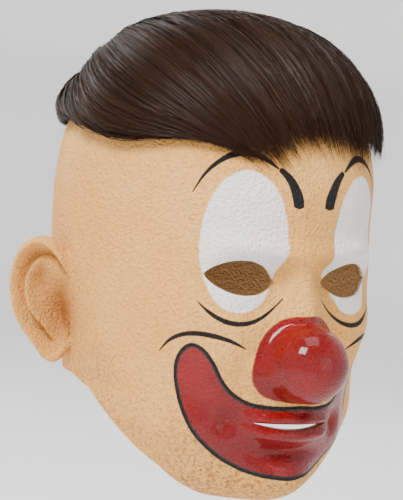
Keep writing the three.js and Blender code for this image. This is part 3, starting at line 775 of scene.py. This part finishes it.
def painted_latex():
    """Flesh latex, darker towards the jaw, with painted shade in the ears and on the inside, and
    brushed make-up.
    """
    finish = Finish("painted latex")
    pebble = finish.noise(640, 2)
    grain = finish.noise(420, 4, 0.7)
    cloud = finish.noise(28, 3)
    wobble = finish.noise(160, 2) * 1.2 - 0.6

    tan, pale_tan = colour(0.80, 0.385, 0.095), colour(0.88, 0.46, 0.135)
    speck_and_jaw_brown, warm_spray = colour(0.26, 0.105, 0.032), colour(0.88, 0.42, 0.12)
    ear_shadow, shaded_bare_latex = colour(0.34, 0.105, 0.025), colour(0.60, 0.36, 0.15)
    white_paint, worn_white = colour(0.87, 0.86, 0.83), colour(0.62, 0.60, 0.57)
    deep_red, bright_red = colour(0.16, 0.0002, 0.0004), colour(0.24, 0.0004, 0.0006)
    black_paint = colour(0.012, 0.011, 0.011)

    skin = finish.mix(cloud.ramp(0.35, 0.7), tan, pale_tan)
    # Brown specks all over, and more brown grain towards the jaw and the lower edge.
    jaw = finish.field("low").ramp(0.62, 1.0)
    speck = finish.noise(760, 3, 0.8).ramp(0.50, 0.62)
    specks_and_jaw_darkening = grain.ramp(0.44, 0.68) * (0.18 + jaw * 0.62) + speck * (0.24 + jaw * 0.36)
    skin = finish.mix(specks_and_jaw_darkening, skin, speck_and_jaw_brown)
    warm = finish.field("aside").ramp(0.55, 0.85) * (1 - finish.field("aside").ramp(0.95, 1.4))
    skin = finish.mix(warm * 0.35, skin, warm_spray)
    # Painted shade: the bowl and upper scoop of each ear are coloured darker brown.
    skin = finish.mix(finish.field("ear_shade"), skin, ear_shadow)

    white = (finish.field("white") + wobble).ramp(-0.6, 0.7) * (0.9 + pebble * 0.1)
    chalk = finish.mix(grain.ramp(0.5, 0.8) * 0.35, white_paint, worn_white)
    skin = finish.mix(white, skin, chalk)

    grin = (finish.field("grin") + wobble * 0.5).ramp(-0.3, 0.4)
    nose = (finish.field("nose") + wobble * 0.8).ramp(-0.4, 0.5)
    red = grin.either(nose)
    skin = finish.mix(red, skin, finish.mix(cloud.ramp(0.3, 0.75), deep_red, bright_red))

    grin_rim = abs(finish.field("grin") + wobble * 0.4 + 0.4)
    black = 1 - grin_rim.ramp(0.9, 1.5)
    for stroke in ("arc", "stroke", "lower", "cheek"):
        over = finish.field(stroke + "_wide") + wobble * 0.25 - abs(finish.field(stroke + "_off"))
        black = black.either(over.ramp(-0.35, 0.25))
    skin = finish.mix(black * (1 - nose), skin, black_paint)

    # The inside of the wall is bare latex, its colour darkened as painted shade.
    inside = finish.field("inside").ramp(-0.1, 0.1)
    skin = finish.mix(inside, skin, shaded_bare_latex)
    gloss = red * (1 - inside)
    bump = finish.add("ShaderNodeBump", {}, {
        "Strength": 1.0, "Distance": 0.0038, "Height": pebble * 0.6 + grain * 0.5})
    return finish.set(Base_Color=skin, Roughness=0.58 - gloss * 0.26 + grain * 0.08, Normal=bump,
                      Coat_Weight=gloss * 0.4, Coat_Roughness=0.1, Specular_IOR_Level=0.14)


# Hair is combed from a whorl at the back right of the crown over to the front left.
# Lengths in millimetres; the whorl's place is in shares of HAIR_REACH.
HAIR_REACH = 100
HAIR_LOFT = 15
WHORL_LEFT, WHORL_BACK = -0.1, 0.72
LOCKS = np.array([
    # end in degrees from straight ahead; reach, swing and loft as shares
    (-40, 1.00, -1.14, 0.55),
    (-33, 1.03, -0.96, 0.75),
    (-25, 1.05, -0.76, 0.90),
    (-15, 1.04, -0.55, 1.00),
    (-4, 0.98, -0.34, 1.00),
    (9, 0.98, -0.12, 1.00),
    (23, 1.00, 0.10, 1.00),
    (37, 1.02, 0.30, 1.00),
    (52, 1.00, 0.48, 0.90),
    (70, 0.98, 0.60, 0.75),
    (92, 0.96, 0.60, 0.60),
    (120, 0.98, 0.35, 0.50),
    (150, 1.04, 0.12, 0.45),
    (180, 1.06, 0.00, 0.45),
    (210, 1.04, -0.12, 0.45),
    (240, 0.98, -0.30, 0.50),
    (268, 0.96, -0.50, 0.50),
    (320, 1.00, -1.14, 0.55),
])

HAIR_BATCHES = [
    # name, hairs, first and last place in the table of locks
    ("hair_front_right", 9000, 0.0, 3.4),
    ("hair_front_middle", 9800, 3.2, 6.2),
    ("hair_front_left", 9800, 6.0, 9.6),
    ("hair_back_left", 7600, 9.4, 13.2),
    ("hair_back_right", 8200, 13.0, 17.0),
]
HAIR_STEPS = 10
HAIRS_IN_CLUMP = 45
# Millimetres: half the width of a hair, the least height over the skin, and how far hairs stray
HAIR_HALF_WIDTH = 0.16, 0.28
HAIR_LEAST_LIFT = 0.8
CLUMP_SWAY, HAIR_STRAY = 2.2, 0.9
# The close layer under the hairs: its reach as a share, and its columns, rows and lift
UNDERLAY_REACH = 0.87
UNDERLAY_COLUMNS, UNDERLAY_ROWS, UNDERLAY_BACK_ROWS = 96, 26, 12
UNDERLAY_LIFT, UNDERLAY_FOOT, UNDERLAY_BACK_LIFT = 4.2, 0.8, 0.4


def scalp_point(left, back, lift):
    """A point over the scalp, from lengths over the crown and a height over the skin."""
    level = np.maximum(np.hypot(left, back) / HEAD_LENGTH, 1e-3)
    angle = np.arctan2(left, -back)
    return plain_point(angle, level) + plain_normal(angle, level) * lift[..., None]


def hair_path(place, share):
    """Lengths over the crown and loft along a hair; place runs through the table of locks."""
    end, reach, swing, loft = smooth_curve(np.arange(len(LOCKS)), LOCKS, place).T
    turn = np.radians(end)[:, None]
    reach = reach[:, None] * HAIR_REACH
    bow = 2 * share * (1 - share) * swing[:, None] * HAIR_REACH
    left = WHORL_LEFT * HAIR_REACH * (1 - share) + np.sin(turn) * reach * share + bow
    back = WHORL_BACK * HAIR_REACH * (1 - share) - np.cos(turn) * reach * share
    lift = HAIR_LOFT * loft[:, None] * (0.25 + 0.75 * np.sin(pi * np.minimum(share, 1) ** 0.9))
    return left, back, lift


def hair_strands(name, count, first, last, rng):
    """Fine hairs, gathered in clumps, as tapering ribbons."""
    clumps = max(int(count / HAIRS_IN_CLUMP), 1)
    clump_place = rng.uniform(first, last, clumps)
    clump_layer = rng.uniform(0, 1, clumps) ** 0.7
    clump_start = rng.uniform(0, 1, clumps) ** 1.7 * 0.36 - 0.06
    clump_wave = rng.normal(0, 1, (clumps, 3))
    clump = rng.integers(0, clumps, count)
    place = np.clip(clump_place[clump] + rng.normal(0, 0.16, count), 0, len(LOCKS) - 1.001)
    start = np.clip(clump_start[clump] + rng.uniform(-0.05, 0.12, count), -0.05, 0.6)
    front = 1 - fade(place, 8, 11)
    end = 1 - 0.06 * front + rng.normal(0, 0.028, count) + 0.036 * clump_wave[clump, 0]
    end = np.clip(end, 0.86, 1.07)
    along = np.linspace(0, 1, HAIR_STEPS)
    share = start[:, None] + (end - start)[:, None] * along
    left, back, lift = hair_path(place, share)
    layer = clump_layer[clump][:, None] + rng.normal(0, 0.06, (count, 1))
    grown = fade(along, 0, 0.25)
    lift = (lift + 3.2) * (0.40 + 0.62 * np.clip(layer, 0, 1.05)) * (0.55 + 0.45 * grown)
    lift = lift + 0.5 * np.sin(along * 7 + 6 * clump_wave[clump, 1][:, None])
    sway = clump_wave[clump, 2][:, None] * CLUMP_SWAY * np.sin(pi * along)
    sway = sway + rng.normal(0, HAIR_STRAY, (count, 1)) * along
    points = scalp_point(left, back, np.maximum(lift, HAIR_LEAST_LIFT))
    way = unit(np.gradient(points, axis=1))
    out = unit(points - scalp_point(left, back, np.zeros_like(left)))
    side = unit(np.cross(way, out))
    points = points + side * sway[..., None]
    lean = rng.uniform(-0.9, 0.9, (count, 1, 1))
    flat = unit(side * np.cos(lean) + out * np.sin(lean))
    half = rng.uniform(*HAIR_HALF_WIDTH, (count, 1)) * (1 - 0.75 * along ** 2)
    points = np.stack([points - flat * half[..., None], points + flat * half[..., None]], 2)
    index = np.arange(count * HAIR_STEPS * 2).reshape(count, HAIR_STEPS, 2)
    quads = np.stack([index[:, :-1, 0], index[:, :-1, 1], index[:, 1:, 1], index[:, 1:, 0]], -1)
    piece = mesh_object(name, points.reshape(-1, 3), quads.reshape(-1, 4).tolist())
    tone = np.clip(0.5 + 0.2 * clump_wave[clump, 1] + rng.normal(0, 0.16, count), 0, 1)
    for field, values in (("tone", np.repeat(tone, HAIR_STEPS * 2)),
                          ("along", np.tile(np.repeat(along, 2), count))):
        piece.data.attributes.new(field, "FLOAT", "POINT").data.foreach_set("value", values)
    return piece


def hair_underlay():
    """The dark, close layer of hair on the scalp: its top to the wavy edge, then its underside."""
    turns = -2 * pi * np.arange(UNDERLAY_COLUMNS) / UNDERLAY_COLUMNS
    wavy = UNDERLAY_REACH + 0.015 * np.sin(9 * turns)
    top = [(share, wavy, UNDERLAY_LIFT * (1 - share ** 4) + UNDERLAY_FOOT)
           for share in np.linspace(0.03, 1, UNDERLAY_ROWS)]
    under = [(share, UNDERLAY_REACH, UNDERLAY_BACK_LIFT)
             for share in np.linspace(0.98, 0.03, UNDERLAY_BACK_ROWS)]
    rings = []
    for share, widest, lift in top + [(1, wavy, 0.5)] + under:
        reach = share * HAIR_REACH * widest
        lifts = np.full(UNDERLAY_COLUMNS, lift)
        rings.append(scalp_point(np.sin(turns) * reach, -np.cos(turns) * reach, lifts))
    return loft("hair_underlay", rings)


def hair_fibre():
    """Dark brown hair, lighter and redder towards its ends."""
    finish = Finish("brown hair")
    dark, mid = colour(0.0035, 0.0014, 0.0006), colour(0.022, 0.0088, 0.0036)
    red_brown = colour(0.034, 0.0125, 0.0048)
    brown = finish.mix(finish.field("tone"), dark, mid)
    brown = finish.mix(finish.field("along") * 0.45, brown, red_brown)
    return finish.set(Base_Color=brown, Roughness=0.40, Specular_IOR_Level=0.11)


def hair_roots():
    """Shaded hair near the scalp."""
    finish = Finish("hair roots")
    return finish.set(Base_Color=colour(0.018, 0.010, 0.007), Roughness=0.7)


# Metres from the middle, and metres over the floor, from the floor's middle up its wall
PAPER_PROFILE = [(0.02, 0), (2.2, 0), (2.7, 0.08), (3.0, 0.35), (3.1, 0.8), (3.1, 3.2)]
PAPER_COLUMNS, PAPER_ROWS = 96, 50
# The floor lies this many millimetres below the outside of the crown
FLOOR_DROP = 420

# The camera stands at the mask's front right, a little above the eye holes
VIEW_TURN, VIEW_RISE, VIEW_ROLL = radians(-33), radians(5), radians(5)
VIEW_DISTANCE, VIEW_LENS = 1.2, 160
VIEW_AIM = Vector((-0.0084, -0.0025, -0.108))
LIGHTS = [
    # name, turn from straight ahead, rise, distance, size, power
    ("key_light", -62, 44, 1.3, 0.45, 29),
    ("fill_light", 15, 8, 1.6, 0.9, 4),
    ("top_light", -20, 78, 1.2, 0.7, 8),
    ("rim_light", -160, 35, 1.4, 0.6, 8),
    ("back_light", 135, 25, 1.5, 0.8, 5),
]
SKY_STRENGTH = 0.32


def studio_floor():
    """A round pale floor that sweeps up into a wall on every side."""
    finish = Finish("pale studio paper")
    material = finish.set(Base_Color=colour(0.9, 0.9, 0.9), Roughness=0.9,
                          Emission_Color=colour(1, 1, 1), Emission_Strength=0.26)
    knots = np.arange(len(PAPER_PROFILE))
    curve = smooth_curve(knots, PAPER_PROFILE, np.linspace(0, knots[-1], PAPER_ROWS))
    curve[:, 1] = np.maximum(curve[:, 1], 0)
    turns = np.arange(PAPER_COLUMNS) * 2 * pi / PAPER_COLUMNS
    points = [(r * cos(t) / MILLIMETRE, r * sin(t) / MILLIMETRE, z / MILLIMETRE - FLOOR_DROP)
              for r, z in curve for t in turns]
    index = np.arange(len(points)).reshape(len(curve), len(turns))
    beside = np.roll(index, -1, 1)
    quads = np.stack([index[:-1], beside[:-1], beside[1:], index[1:]], -1).reshape(-1, 4).tolist()
    floor = mesh_object("studio_paper", points, quads + [index[0].tolist()])
    floor.data.materials.append(material)


def aimed(thing, place, aim):
    """Stands a light or camera at place and points it."""
    piece = bpy.data.objects.new(thing.name, thing)
    bpy.context.scene.collection.objects.link(piece)
    piece.location = place
    piece.rotation_euler = (aim - place).to_track_quat("-Z", "Y").to_euler()
    return piece


def away_at(turn, rise):
    """The way from the mask to something at a turn from straight ahead and a rise."""
    return Vector((sin(turn) * cos(rise), -cos(turn) * cos(rise), sin(rise)))


def photo_camera():
    """The camera at the photograph's angle."""
    lens = bpy.data.cameras.new("photo_camera")
    lens.lens, lens.sensor_fit, lens.sensor_width = VIEW_LENS, "AUTO", 36
    camera = aimed(lens, VIEW_AIM + away_at(VIEW_TURN, VIEW_RISE) * VIEW_DISTANCE, VIEW_AIM)
    roll = Matrix.Rotation(VIEW_ROLL, 3, "Z")
    camera.rotation_euler = (camera.rotation_euler.to_matrix() @ roll).to_euler()
    bpy.context.scene.camera = camera


def studio_lights():
    """Soft boxes round the mask, under an even sky."""
    for name, turn, rise, distance, size, power in LIGHTS:
        lamp = bpy.data.lights.new(name, "AREA")
        lamp.energy, lamp.size = power, size
        aimed(lamp, VIEW_AIM + away_at(radians(turn), radians(rise)) * distance, VIEW_AIM)
    world = bpy.data.worlds.new("studio")
    bpy.context.scene.world = world
    world.use_nodes = True
    sky = world.node_tree.nodes["Background"].inputs
    sky["Color"].default_value = colour(1, 1, 1)
    sky["Strength"].default_value = SKY_STRENGTH


def dressed(piece, material, node):
    """Gives a piece its finish and lets it stand for its part of the frame."""
    piece.data.materials.clear()
    piece.data.materials.append(material)
    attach(piece, "root")
    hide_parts(node)


mask = latex_skin()
paint_fields(mask)
dressed(mask, painted_latex(), "latex_mask")

random_hair = np.random.default_rng(7)
fibre = hair_fibre()
dressed(hair_underlay(), hair_roots(), "hairpiece")
for name, hairs, first, last in HAIR_BATCHES:
    dressed(hair_strands(name, hairs, first, last, random_hair), fibre, "hairpiece")

studio_floor()
studio_lights()
photo_camera()
